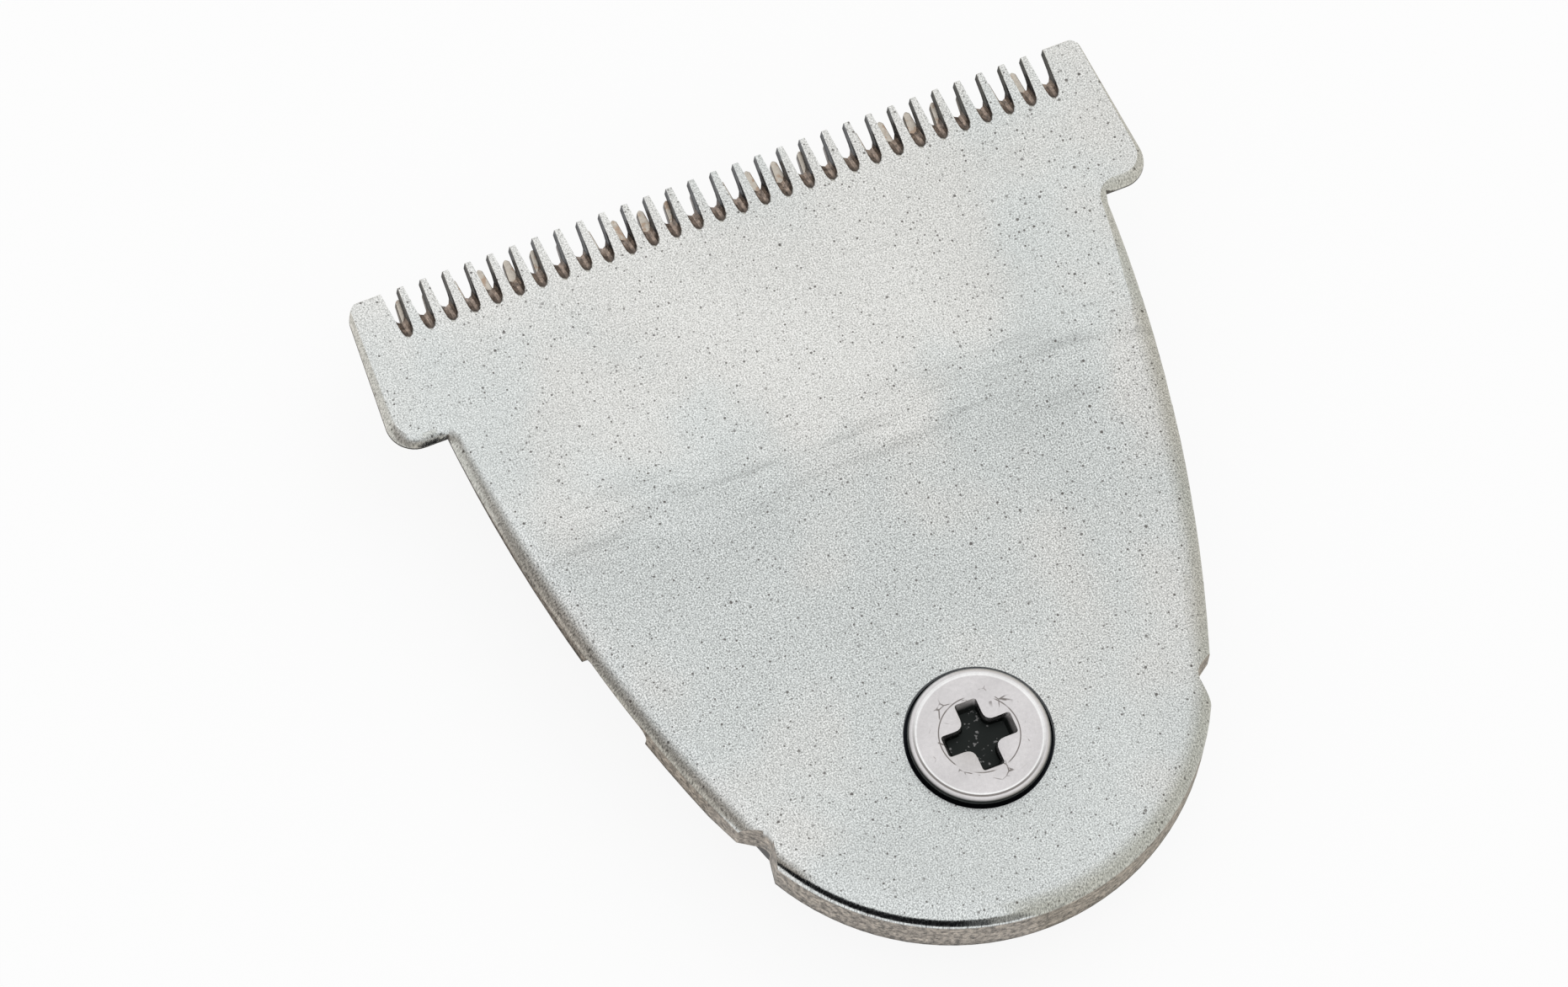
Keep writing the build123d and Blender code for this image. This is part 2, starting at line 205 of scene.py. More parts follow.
class ScrewFinish(bpy.types.PropertyGroup):
    """The fixing screw"""

    head_colour: colour_prop("Head", "Plated steel of the screw", (0.69, 0.67, 0.675))
    # Also the colour of the painted shade line at the lip.
    marks_and_lip_shade_colour: colour_prop("Marks", "Dark driver marks", (0.12, 0.1, 0.09))
    # Painted shade: near-black inside the cross recess and on the lower side of the head.
    recess_shade_colour: colour_prop("Recess", "Dark inside of the cross recess", (0.022, 0.025, 0.024))
    roughness: share_prop("Roughness", "Roughness of the plated head", 0.26)
    edge_round: length_prop("Head edge", "Rounding of the head's outer edge", 0.2 * MM)
    lip_diameter: length_prop("Lip", "Diameter of the fine line where the head's edge starts to round", 5.3 * MM)
    # Painted highlight: a near-white ring on the head just inside the lip.
    rim_highlight_colour: colour_prop("Rim", "Brighter rubbed rim of the head", (0.93, 0.93, 0.93))
    dish_diameter: length_prop("Dish", "Diameter of the shallow dish that the recess punch leaves", 3.3 * MM)
    dish_depth: length_prop("Dish depth", "Depth of that dish at the recess", 0.07 * MM)
    recess_span: length_prop("Recess span", "Cross recess from end to end", 3.05 * MM)
    recess_arm: length_prop("Recess arm", "Width of the arms of the recess", 0.95 * MM)
    recess_depth: length_prop("Recess depth", "Depth of the recess", 0.62 * MM)
    recess_taper: angle_prop("Recess taper", "Slope of the recess's side walls", 6.0)
    recess_end_taper: angle_prop("Recess end taper", "Slope of the ends of the recess", 24.0)
    recess_corner: length_prop("Recess corners", "Rounding of the inner corners of the recess", 0.42 * MM)
    recess_end_corner: length_prop("Recess ends", "Rounding of the ends of the recess", 0.14 * MM)
    head_depth: length_prop("Head depth", "Depth of the head under its top", 0.8 * MM)
    shank_diameter: length_prop("Shank", "Outer diameter of the thread", 2.5 * MM)
    thread_depth: length_prop("Thread depth", "Depth of the thread", 0.2 * MM)
    thread_pitch: length_prop("Thread pitch", "Pitch of the thread", 0.8 * MM)
    point_length: length_prop("Point", "Length of the cone at the end of the shank", 0.5 * MM)


class StudioSetup(bpy.types.PropertyGroup):
    """Camera, floor and light"""

    azimuth: angle_prop("Azimuth", "Camera's turn round the part", -32.885)
    elevation: angle_prop("Elevation", "Camera's height above the horizon", 67.341)
    roll: angle_prop("Roll", "Camera's turn about its own axis", 10.312)
    distance: length_prop("Distance", "Camera's distance from the aim point", 0.7)
    frame_width: length_prop("Frame width", "Width of the picture at the aim point", 0.063174)
    aim_right: offset_prop("Aim right", "Shift of the camera to its right", -0.003882)
    aim_up: offset_prop("Aim up", "Shift of the camera upwards", 0.001838)
    aim_height: length_prop("Aim height", "Height of the aim point", 0.004)
    floor_side: length_prop("Floor", "Side of the floor", 3.0)
    floor_colour: colour_prop("Floor colour", "Pale floor", (0.92, 0.92, 0.92))
    floor_shade: share_prop("Floor shade", "How much of the floor's own shading shows in its white", 0.1)
    sky_level: level_prop("Sky level", "Soft light from all round", 0.75)
    key_watts: level_prop("Key light", "Power of the large soft light", 2.0)
    front_mat: colour_prop("Front mat", "Black mat that the rounded front edges mirror", (0.008, 0.008, 0.009))
    fade_near_mat: colour_prop("Near fade mat", "Dark grey mat at the end of the front mat", (0.1, 0.1, 0.1))
    fade_far_mat: colour_prop("Far fade mat", "Grey mat between the front and right mats", (0.34, 0.33, 0.31))
    neck_mat: colour_prop("Neck mat", "Brown mat close to the left neck", (0.6, 0.55, 0.49))
    left_near_mat: colour_prop("Left near mat", "Light brown mat close to the left edge", (0.6, 0.56, 0.5))
    left_far_mat: colour_prop("Left far mat", "Dark brown mat further from the left edge", (0.35, 0.32, 0.29))
    wing_mat: colour_prop("Wing mat", "Light mat that the left end of the head mirrors", (0.74, 0.71, 0.66))
    right_mat: colour_prop("Right mat", "Beige mat that the right edge mirrors", (0.64, 0.62, 0.56))
    mat_top: colour_prop("Mat top", "Top of the mats' turned-up rims", (0.97, 0.97, 0.97))


class BladeSettings(bpy.types.PropertyGroup):
    """All the finishes of the trimmer blade"""

    plate: bpy.props.PointerProperty(type=PlateFinish, name="Plate")
    cutter: bpy.props.PointerProperty(type=CutterFinish, name="Cutter")
    moulding: bpy.props.PointerProperty(type=MouldingFinish, name="Mouldings")
    wire: bpy.props.PointerProperty(type=WireFinish, name="Spring")
    screw: bpy.props.PointerProperty(type=ScrewFinish, name="Screw")
    studio: bpy.props.PointerProperty(type=StudioSetup, name="Studio")


class Finish:
    """A node material with its shader, and short ways to add and join nodes."""

    def __init__(self, name):
        self.material = bpy.data.materials.new(name)
        self.material.use_nodes = True
        self.tree = self.material.node_tree
        self.shader = self.tree.nodes["Principled BSDF"]
        place = self.tree.nodes.new("ShaderNodeTexCoord")
        self.mm = self.vector("SCALE", place.outputs["Object"], Scale=MM_PER_M)
        self.normal = place.outputs["Normal"]

    def join(self, socket, value):
        if isinstance(value, bpy.types.NodeSocket):
            self.tree.links.new(value, socket)
        elif hasattr(value, "__len__") and len(value) == 3 and len(socket.default_value) == 4:
            socket.default_value = (*value, 1.0)
        else:
            socket.default_value = value

    def set(self, **values):
        for key, value in values.items():
            self.join(self.shader.inputs[key.replace("_", " ")], value)

    def maths(self, operation, *values, clamp=False):
        made = self.tree.nodes.new("ShaderNodeMath")
        made.operation = operation
        made.use_clamp = clamp
        for socket, value in zip(made.inputs, values):
            self.join(socket, value)
        return made.outputs[0]

    def vector(self, operation, *values, **named):
        made = self.tree.nodes.new("ShaderNodeVectorMath")
        made.operation = operation
        for socket, value in zip(made.inputs, values):
            self.join(socket, value)
        for key, value in named.items():
            self.join(made.inputs[key], value)
        return made.outputs["Value" if operation == "LENGTH" else "Vector"]

    def product(self, first, *others):
        """Values multiplied together in turn."""
        for other in others:
            first = self.maths("MULTIPLY", first, other)
        return first

    def gap(self, value, centre):
        """How far a value is from a centre."""
        return self.maths("ABSOLUTE", self.maths("SUBTRACT", value, centre))

    def split(self, vector):
        made = self.tree.nodes.new("ShaderNodeSeparateXYZ")
        self.join(made.inputs[0], vector)
        return made.outputs

    def ramp(self, value, low, high, out_low=0.0, out_high=1.0, smooth=True):
        made = self.tree.nodes.new("ShaderNodeMapRange")
        made.interpolation_type = "SMOOTHSTEP" if smooth else "LINEAR"
        for socket, number in zip(made.inputs, (value, low, high, out_low, out_high)):
            self.join(socket, number)
        return made.outputs["Result"]

    def fall(self, value, low, high):
        """1 up to the low end and 0 from the high end on."""
        return self.ramp(value, low, high, 1.0, 0.0)

    def blend(self, share, low, high):
        """An even blend from low to high."""
        return self.ramp(share, 0.0, 1.0, low, high, smooth=False)

    def vary(self, noise, low, high, spread=0.2):
        """A noise made into a factor from low to high, over a spread on both sides of its middle."""
        return self.ramp(noise, 0.5 - spread, 0.5 + spread, low, high, smooth=False)

    def noise(self, scale, detail=2.0, roughness=0.5, stretch=None, flat=False):
        made = self.tree.nodes.new("ShaderNodeTexNoise")
        made.noise_dimensions = "2D" if flat else "3D"
        place = self.mm if stretch is None else self.vector("MULTIPLY", self.mm, stretch)
        self.join(made.inputs["Vector"], place)
        made.inputs["Scale"].default_value = scale
        made.inputs["Detail"].default_value = detail
        made.inputs["Roughness"].default_value = roughness
        return made.outputs["Fac"]

    def cells(self, scale, feature="F1", flat=False):
        made = self.tree.nodes.new("ShaderNodeTexVoronoi")
        made.feature = feature
        made.voronoi_dimensions = "2D" if flat else "3D"
        self.join(made.inputs["Vector"], self.mm)
        made.inputs["Scale"].default_value = scale
        return made.outputs

    def spots(self, per_mm, size, blur, none, full):
        """Round spots of random size in those cells whose own random number lies above a share."""
        cells = self.cells(per_mm, flat=True)
        chance = self.split(cells["Color"])
        past_edge = self.maths("SUBTRACT", cells["Distance"], self.maths("MULTIPLY", chance[0], size))
        return self.product(self.fall(past_edge, 0.0, blur), self.ramp(chance[1], none, full))

    def mix(self, factor, first, second, mode="MIX"):
        made = self.tree.nodes.new("ShaderNodeMix")
        made.data_type = "RGBA"
        made.blend_type = mode
        for socket, value in zip((made.inputs[0], made.inputs[6], made.inputs[7]), (factor, first, second)):
            self.join(socket, value)
        return made.outputs[2]

    def shaded(self, colour, shade):
        """A colour times a grey of the given shade."""
        grey = self.tree.nodes.new("ShaderNodeCombineColor")
        for socket in grey.inputs:
            self.join(socket, shade)
        return self.mix(1.0, colour, grey.outputs[0], "MULTIPLY")

    def bump(self, height, distance):
        made = self.tree.nodes.new("ShaderNodeBump")
        made.inputs["Distance"].default_value = distance
        made.inputs["Strength"].default_value = 1.0
        self.join(made.inputs["Height"], height)
        return made.outputs["Normal"]


def object_from(body, name):
    """A scene object from a bmesh, which is freed."""
    mesh = bpy.data.meshes.new(name)
    body.to_mesh(mesh)
    body.free()
    made = bpy.data.objects.new(name, mesh)
    bpy.context.scene.collection.objects.link(made)
    return made


def finished_copy(node_name, piece_name, edge_width):
    """A copy of a node with its facets joined, its sharp edges eased and its curves smooth."""
    shell = bmesh.new()
    shell.from_mesh(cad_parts[node_name].data)
    bmesh.ops.remove_doubles(shell, verts=shell.verts, dist=WELD)
    bmesh.ops.dissolve_limit(shell, angle_limit=FLAT_ANGLE, verts=shell.verts, edges=shell.edges)
    bmesh.ops.recalc_face_normals(shell, faces=shell.faces)
    piece = object_from(shell, piece_name)
    if edge_width > 0:
        ease = piece.modifiers.new("eased_edges", "BEVEL")
        ease.width = edge_width
        ease.segments = EASED_SEGMENTS
        ease.limit_method = "ANGLE"
        ease.angle_limit = math.radians(SHARP_DEGREES)
        ease.miter_outer = "MITER_ARC"
        ease.use_clamp_overlap = True
    smooth_piece(piece, SHARP_DEGREES)
    return piece


def smooth_piece(piece, sharp_degrees):
    """Applies the piece's modifiers and shades it smooth, with its flats kept flat."""
    apply_modifiers(piece)
    piece.data.shade_smooth()
    kept_sharp = sharp_degrees + EASED_SEGMENTS * EASED_STEP_DEGREES
    piece.data.set_sharp_from_angle(angle=math.radians(kept_sharp))
    level = piece.modifiers.new("flat_faces", "WEIGHTED_NORMAL")
    level.keep_sharp = True
    apply_modifiers(piece)


def apply_modifiers(piece):
    """Puts the result of the piece's modifiers into its mesh."""
    seen = piece.evaluated_get(bpy.context.evaluated_depsgraph_get())
    made = bpy.data.meshes.new_from_object(seen)
    piece.modifiers.clear()
    piece.data = made


def settle(piece, finish, node_name, body):
    """Gives a piece its finish and its place in the frame."""
    piece.data.materials.clear()
    piece.data.materials.append(finish.material)
    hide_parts(node_name)
    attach(piece, body)


def face_finish(steel, look, y, grain, pit):
    """The ground and tumbled face: grain, clouds, streaks where the ground flat ends, specks and pits."""
    grind_y = TIP_Y - to_mm(look.grind_start)
    coarse_scale, cloud_scale, tone_scale, wave_scale = look.grain_per_mm * 0.2, 0.16, 0.14, 0.3
    streak_reach, streak_stretch, streak_shade = 3.0, (0.16, 1.5, 0.16), 0.74
    tumbled_contrast, ground_contrast, tail_contrast = 2.7, 2.0, 0.85
    middle_shade, darkest_shade, tumbled_shade, tail_shade = 0.97, 0.12, 0.885, 1.03
    wave_height, wave_blur, warm_per_mm = 6.0, 2.2, 0.008
    speck_size, speck_blur, speck_cover, pit_cover = 0.19, 0.09, 0.85, 0.9

    coarse = steel.noise(coarse_scale, roughness=0.6, flat=True)
    streak = steel.product(
        steel.fall(steel.gap(y, grind_y), 0.0, streak_reach),
        steel.ramp(steel.noise(1.0, 3.0, 0.65, stretch=streak_stretch), 0.48, 0.7),
        steel.ramp(coarse, 0.35, 0.6, 0.4, 1.0),
    )
    contrast = steel.product(
        steel.ramp(y, grind_y - 2.0, grind_y + 4.0, tumbled_contrast, ground_contrast),
        steel.ramp(y, grind_y - 16.0, grind_y - 7.0, tail_contrast, 1.0),
    )
    grainy = steel.maths("MULTIPLY_ADD", steel.maths("SUBTRACT", grain, 0.5), contrast, middle_shade)
    level_y = steel.maths("SUBTRACT", y, wave_height / 2)
    wavy = steel.maths("MULTIPLY_ADD", steel.noise(wave_scale, roughness=0.6), wave_height, level_y)
    shade = steel.product(
        steel.maths("MAXIMUM", grainy, darkest_shade),
        steel.vary(coarse, 0.95, 1.05),
        steel.vary(steel.noise(cloud_scale), 0.95, 1.04),
        steel.blend(streak, 1.0, streak_shade),
        steel.ramp(wavy, grind_y - wave_blur, grind_y + wave_blur, tumbled_shade, 1.0),
        steel.ramp(y, grind_y - 18.0, grind_y - 6.0, tail_shade, 1.0),
    )
    past_grind = steel.maths("SUBTRACT", y, grind_y)
    warmth = steel.maths("MULTIPLY_ADD", past_grind, warm_per_mm, steel.noise(tone_scale))
    face = steel.mix(steel.ramp(warmth, 0.4, 0.62), look.cool_colour, look.face_colour)
    face = steel.shaded(face, shade)
    speck = steel.spots(look.specks_per_mm, speck_size, speck_blur, 0.7, 0.95)
    face = steel.mix(steel.maths("MULTIPLY", speck, speck_cover), face, look.pit_colour)
    return steel.mix(steel.maths("MULTIPLY", pit, pit_cover), face, look.pit_colour)


def wall_finish(steel, look, y, z, upward, mottle):
    """The as-sintered walls: mottled, with a dark lower rim, drawn lines and painted shade on the neck walls just
    below the shoulders.
    """
    underside, upright = -0.9, -0.3
    mottle_spread, drawn_stretch = 0.14, (0.7, 0.7, 9.0)
    rim_height, rim_shade, wall_shade = 0.45, 0.5, 1.06
    shoulder_shade_reach, shoulder_shade_level = 7.0, 0.4

    dark = steel.ramp(upward, underside, upright, 0.65, 0.3)
    light = steel.ramp(upward, underside, upright, 1.35, 1.75)
    from_tail = steel.maths("SUBTRACT", y, TAIL_Y)
    above_rim = steel.maths("SUBTRACT", z, steel.maths("MULTIPLY_ADD", from_tail, look.skirt_slope, SKIRT_Z))
    drawn = steel.noise(1.0, roughness=0.6, stretch=drawn_stretch)
    to_shoulder = steel.maths("SUBTRACT", TIP_Y - to_mm(look.shoulder_y), y)
    # Painted shade: the walls get darker along the neck just below the shoulders.
    shoulder_shade = steel.product(steel.fall(to_shoulder, 0.0, shoulder_shade_reach), steel.ramp(to_shoulder, -1.4, -0.7))
    shade = steel.product(
        steel.vary(mottle, dark, light, mottle_spread),
        steel.ramp(above_rim, 0.0, rim_height, rim_shade, wall_shade),
        steel.vary(drawn, 0.72, 1.22),
        steel.blend(shoulder_shade, 1.0, shoulder_shade_level),
    )
    return steel.shaded(look.wall_colour, shade)


def groove_finish(steel, look, below, upward):
    """The tooth grooves: mottled brown floors with dark rims, and near-black flanks that are partly as-sintered
    steel and partly painted shade.
    """
    mottle_scale, mottle_stretch = 5.0, (1.6, 0.7, 1.0)
    rim_depth, floor_depth, rim_shade, floor_shade = 0.05, 0.3, 0.3, 1.5
    mottle = steel.noise(mottle_scale, 3.0, 0.7, stretch=mottle_stretch)
    shade = steel.product(
        steel.vary(mottle, 0.35, 2.0),
        steel.ramp(below, rim_depth, floor_depth, rim_shade, floor_shade),
    )
    # Painted shade: the flanks inside the grooves take the near-black flank colour.
    flank_shade = steel.fall(steel.maths("ABSOLUTE", upward), 0.25, 0.6)
    return steel.mix(flank_shade, steel.shaded(look.groove_colour, shade), look.flank_shade_colour)


def screw_seat_shadow(steel, look, colour, below):
    """Adds a painted shadow in the screw seat, and a painted shadow ring round the head that reaches furthest on
    one side.
    """
    edge = to_mm(look.seat_shadow_reach)
    seat_blur, seat_depth = 0.02, (0.02, 0.05)
    ring_lean, ring_least, ring_most, ring_blur, ring_cover = 0.65, edge - 0.1, edge - 0.01, 0.03, 0.9
    offset = steel.vector("SUBTRACT", steel.mm, SCREW_TOP)
    radius = steel.vector("LENGTH", steel.vector("MULTIPLY", offset, (1.0, 1.0, 0.0)))
    # Painted shadow in the gap between the screw head and its seat.
    seat = steel.product(steel.fall(radius, edge, edge + seat_blur), steel.ramp(below, *seat_depth))
    colour = steel.mix(seat, colour, look.flank_shade_colour)
    # Painted shadow line round the head, reaching furthest towards +X +Y.
    across, along = steel.split(offset)[:2]
    side = steel.maths("MULTIPLY_ADD", across, ring_lean, along)
    past_ring = steel.maths("SUBTRACT", radius, steel.ramp(side, -2.0, 2.0, ring_least, ring_most))
    ring = steel.ramp(past_ring, 0.0, ring_blur, ring_cover, 0.0)
    return steel.mix(ring, colour, look.flank_shade_colour)


def plate_steel(look):
    """Sintered steel: a ground and tumbled face, brown as-sintered walls, dark tooth flanks that are partly painted
    shade.
    """
    steel = Finish("sintered_plate_steel")
    x, y, z = steel.split(steel.mm)[:3]
    upward = steel.split(steel.normal)[2]
    mottle_scale, border, groove_depth = 4.2, 0.05, (0.03, 0.07)
    pit_size, pit_blur, pitted_side, pit_rare, pit_common = 0.085, 0.05, (8.0, 11.0), 0.8, 0.15
    rubbed_blur, rough_spread, groove_dull = 0.5, 0.06, 0.7
    relief_depth, grain_relief, mottle_relief = 0.006 * MM, 0.35, 3.0

    past_grind = steel.maths("SUBTRACT", y, TIP_Y - to_mm(look.grind_start))
    ground = steel.maths("MAXIMUM", past_grind, 0.0)
    face_here = steel.maths("MULTIPLY_ADD", ground, -math.tan(look.grind_angle), FACE_Z)
    below = steel.maths("SUBTRACT", face_here, z)
    grain = steel.noise(look.grain_per_mm, roughness=0.7, flat=True)
    mottle = steel.noise(mottle_scale, 3.0, 0.8)
    pit_share = steel.ramp(x, *pitted_side, pit_rare, pit_common)
    pit = steel.spots(look.pits_per_mm, pit_size, pit_blur, pit_share, 1.0)

    is_wall = steel.fall(upward, 0.03, 0.14)
    row_y, row_x = TIP_Y - to_mm(look.groove_reach), to_mm(look.groove_span)
    in_groove = steel.product(
        steel.ramp(y, row_y, row_y + border),
        steel.fall(steel.maths("ABSOLUTE", x), row_x, row_x + border),
        steel.ramp(below, *groove_depth),
    )
    colour = face_finish(steel, look, y, grain, pit)
    colour = steel.mix(is_wall, colour, wall_finish(steel, look, y, z, upward, mottle))
    colour = steel.mix(in_groove, colour, groove_finish(steel, look, below, upward))
    colour = screw_seat_shadow(steel, look, colour, below)

    tail_y = TAIL_Y + to_mm(look.rubbed_tail)
    rubbed_span = tail_y - rubbed_blur, tail_y + rubbed_blur
    edge_rough = steel.ramp(y, *rubbed_span, look.edge_roughness, look.side_roughness)
    rough = steel.ramp(upward, 0.9, 0.995, edge_rough, look.face_roughness)
    rough = steel.blend(is_wall, rough, look.wall_roughness)
    rough = steel.maths("ADD", rough, steel.vary(grain, -rough_spread, rough_spread, 0.3))
    dull = steel.maths("MAXIMUM", is_wall, steel.maths("MULTIPLY", in_groove, groove_dull))
    metal = steel.blend(dull, 1.0, look.wall_metal)
    relief = steel.maths("SUBTRACT", steel.maths("MULTIPLY", grain, grain_relief), pit)
    relief = steel.maths("ADD", relief, steel.product(mottle, is_wall, mottle_relief))
    steel.set(Base_Color=colour, Roughness=rough, Metallic=metal, Normal=steel.bump(relief, relief_depth))
    return steel


def cutter_steel(look):
    """Ground cutter steel with fine lines along the slide, heat stains and darker walls."""
    steel = Finish("ground_cutter_steel")
    grain_scale, line_stretch, spread = 7.0, (0.6, 14.0, 14.0), 0.25
    stain_scale, stain_cover, relief_depth = 2.6, 0.7, 0.003 * MM
    facing = steel.maths("ABSOLUTE", steel.split(steel.normal)[2])
    grain = steel.noise(grain_scale, 3.0, 0.7)
    lines = steel.noise(1.0, roughness=0.6, stretch=line_stretch)
    shade = steel.product(steel.vary(grain, 0.8, 1.15, spread), steel.vary(lines, 0.93, 1.06, spread))
    stain = steel.ramp(steel.noise(stain_scale, roughness=0.6), 0.5, 0.64)
    colour = steel.shaded(look.steel_colour, shade)
    colour = steel.mix(steel.maths("MULTIPLY", stain, stain_cover), colour, look.stain_colour)
    colour = steel.mix(steel.fall(facing, 0.5, 0.9), colour, look.edge_colour)
    relief = steel.bump(steel.maths("ADD", grain, lines), relief_depth)
    steel.set(Base_Color=colour, Roughness=look.roughness, Metallic=1.0, Normal=relief)
    return steel


def moulded_plastic(name, colour, look):
    """Dark moulded plastic with a spark-eroded grain and faint flow marks."""
    plastic = Finish(name)
    erode_scale, flow_scale, flow_stretch = 5.5, 0.22, (1.0, 0.4, 1.0)
    rough_spread, relief_depth = 0.06, 0.01 * MM
    erode = plastic.noise(erode_scale, 3.0, 0.6)
    flow = plastic.noise(flow_scale, stretch=flow_stretch)
    shade = plastic.product(plastic.vary(erode, 0.85, 1.15), plastic.vary(flow, 0.85, 1.2))
    plastic.set(
        Base_Color=plastic.shaded(colour, shade),
        Roughness=plastic.vary(flow, look.roughness - rough_spread, look.roughness + rough_spread),
        Normal=plastic.bump(erode, relief_depth),
    )
    return plastic


def drawn_wire(look):
    """Bright drawn wire with fine marks from the die."""
    wire = Finish("drawn_spring_wire")
    mark_stretch, mark_spread, patch_scale = (1.2, 6.0, 6.0), 0.25, 1.3
    smoothest, roughest, relief_depth = look.roughness - 0.05, look.roughness + 0.08, 0.003 * MM
    marks = wire.noise(1.0, 3.0, 0.6, stretch=mark_stretch)
    patches = wire.noise(patch_scale)
    shade = wire.product(wire.vary(marks, 0.85, 1.12, mark_spread), wire.vary(patches, 0.9, 1.05))
    wire.set(
        Base_Color=wire.shaded(look.wire_colour, shade),
        Roughness=wire.vary(patches, smoothest, roughest),
        Metallic=1.0,
        Normal=wire.bump(marks, relief_depth),
    )
    return wire


def screw_marks(steel, look, x, y, radius, clouds):
    """Driver marks round the recess and the dish's edge, and a fine dark line at the lip that is painted shade,
    strongest towards -X -Y.
    """
    crack_scale, mark_radius, break_scale = 0.9, 1.75, 1.6
    crack_line, dish_line, lip_line = (0.008, 0.024), (0.012, 0.035), (0.03, 0.06)
    lip_lean, lip_far, lip_faint = 0.6, (-2.4, 1.2), 0.1
    crack = steel.product(
        steel.fall(steel.cells(crack_scale, "DISTANCE_TO_EDGE")["Distance"], *crack_line),
        steel.fall(steel.gap(radius, mark_radius), 0.15, 0.55),
        steel.ramp(steel.noise(break_scale, roughness=0.6), 0.5, 0.6),
    )
    dish = steel.product(
        steel.fall(steel.gap(radius, to_mm(look.dish_diameter) / 2), *dish_line),
        steel.ramp(clouds, 0.46, 0.54),
    )
    # Painted shade: a dark line at the lip, strongest towards -X -Y.
    lip = steel.product(
        steel.fall(steel.gap(radius, to_mm(look.lip_diameter) / 2), *lip_line),
        steel.ramp(steel.maths("MULTIPLY_ADD", x, lip_lean, y), *lip_far, 1.0, lip_faint),
    )
    return steel.maths("MAXIMUM", crack, steel.maths("MAXIMUM", dish, lip))


def plated_screw(look):
    """Plated steel with a black recess and a dark lower head side as painted shade, a painted highlight ring near
    the rim, driver marks, a painted shade line at the lip, and a slightly pink cast.
    """
    steel = Finish("plated_screw_steel")
    x, y, z = steel.split(steel.vector("SUBTRACT", steel.mm, SCREW_TOP))[:3]
    grain_scale, cloud_scale, chip_scale = 6.0, 0.7, 5.0
    mark_cover, chip_cover, recess_radius, head_side = 0.85, 0.25, (1.7, 1.75), (2.6, 2.65)
    side_shade_lean, side_shade_most, side_shade_least = (0.9, 0.45), 0.19, 0.165
    relief_depth, grain_relief, recess_dull = 0.006 * MM, 0.3, 0.2

    squares = steel.maths("MULTIPLY", x, x), steel.maths("MULTIPLY", y, y)
    radius = steel.maths("SQRT", steel.maths("ADD", *squares))
    grain = steel.noise(grain_scale, 3.0, 0.7)
    clouds = steel.noise(cloud_scale)
    lip = to_mm(look.lip_diameter) / 2
    # Painted highlight: the head is near-white in a ring just inside the lip, and faintly so on the rounded edge.
    rubbed = steel.product(
        steel.ramp(radius, lip - 0.15, lip - 0.08),
        steel.ramp(radius, lip, lip + 0.06, 1.0, 0.1),
    )
    colour = steel.mix(rubbed, look.head_colour, look.rim_highlight_colour)
    shade = steel.product(steel.vary(grain, 0.92, 1.06, 0.25), steel.vary(clouds, 0.92, 1.04))
    colour = steel.shaded(colour, shade)
    marks_and_lip_shade = screw_marks(steel, look, x, y, radius, clouds)
    colour = steel.mix(steel.maths("MULTIPLY", marks_and_lip_shade, mark_cover), colour, look.marks_and_lip_shade_colour)
    # Painted shade inside the recess, broken by chips of the head colour.
    inside = steel.product(steel.fall(z, -0.42, -0.1), steel.fall(radius, *recess_radius))
    chips = steel.ramp(steel.noise(chip_scale, roughness=0.6), 0.62, 0.68)
    recess_shade = steel.mix(steel.maths("MULTIPLY", chips, chip_cover), look.recess_shade_colour, look.head_colour)
    colour = steel.mix(inside, colour, recess_shade)
    # Painted shade on the lower side of the head, reaching higher towards -X -Y.
    side = steel.maths("MULTIPLY_ADD", y, side_shade_lean[1], steel.maths("MULTIPLY", x, side_shade_lean[0]))
    side_shade_top = steel.ramp(side, -2.7, 1.0, side_shade_most, side_shade_least)
    under_edge_shade = steel.product(
        steel.fall(steel.maths("SUBTRACT", z, side_shade_top), -0.3, -0.18),
        steel.ramp(radius, *head_side),
    )
    colour = steel.mix(under_edge_shade, colour, look.recess_shade_colour)
    rough = steel.maths("ADD", steel.maths("MULTIPLY", inside, recess_dull), look.roughness)
    relief = steel.maths("SUBTRACT", steel.maths("MULTIPLY", grain, grain_relief), marks_and_lip_shade)
    steel.set(Base_Color=colour, Roughness=rough, Metallic=1.0, Normal=steel.bump(relief, relief_depth))
    return steel


def lathe(profile, turns):
    """A closed body of revolution about Z from (radius, height) points, first and last on the axis."""
    body = bmesh.new()
    rings = []
    for radius, height in profile:
        if radius <= 0:
            rings.append([body.verts.new((0.0, 0.0, height))])
        else:
            steps = [math.tau * step / turns for step in range(turns)]
            rings.append([body.verts.new((radius * math.cos(a), radius * math.sin(a), height)) for a in steps])
    for upper, lower in zip(rings, rings[1:]):
        for step in range(turns):
            after = (step + 1) % turns
            corners = [upper[step % len(upper)], upper[after % len(upper)]]
            corners += [lower[after % len(lower)], lower[step % len(lower)]]
            body.faces.new(list(dict.fromkeys(corners)))
    bmesh.ops.recalc_face_normals(body, faces=body.faces)
    return body


def cross_outline(span, arm, inner, ends, steps=5):
    """The outline of a cross with rounded inner corners and ends."""
    half, side = span / 2, arm / 2
    corners = [((half, -side), ends), ((half, side), ends), ((side, side), inner)]
    points = []
    for quarter in range(4):
        turn = Matrix.Rotation(quarter * math.pi / 2, 2)
        points += [(turn @ Vector(place), rounding) for place, rounding in corners]
    outline = []
    for index, (here, rounding) in enumerate(points):
        before = (points[index - 1][0] - here).normalized()
        after = (points[(index + 1) % len(points)][0] - here).normalized()
        start, end = here + before * rounding, here + after * rounding
        for step in range(steps + 1):
            share = step / steps
            outline.append(start.lerp(here, share).lerp(here.lerp(end, share), share))
    return outline


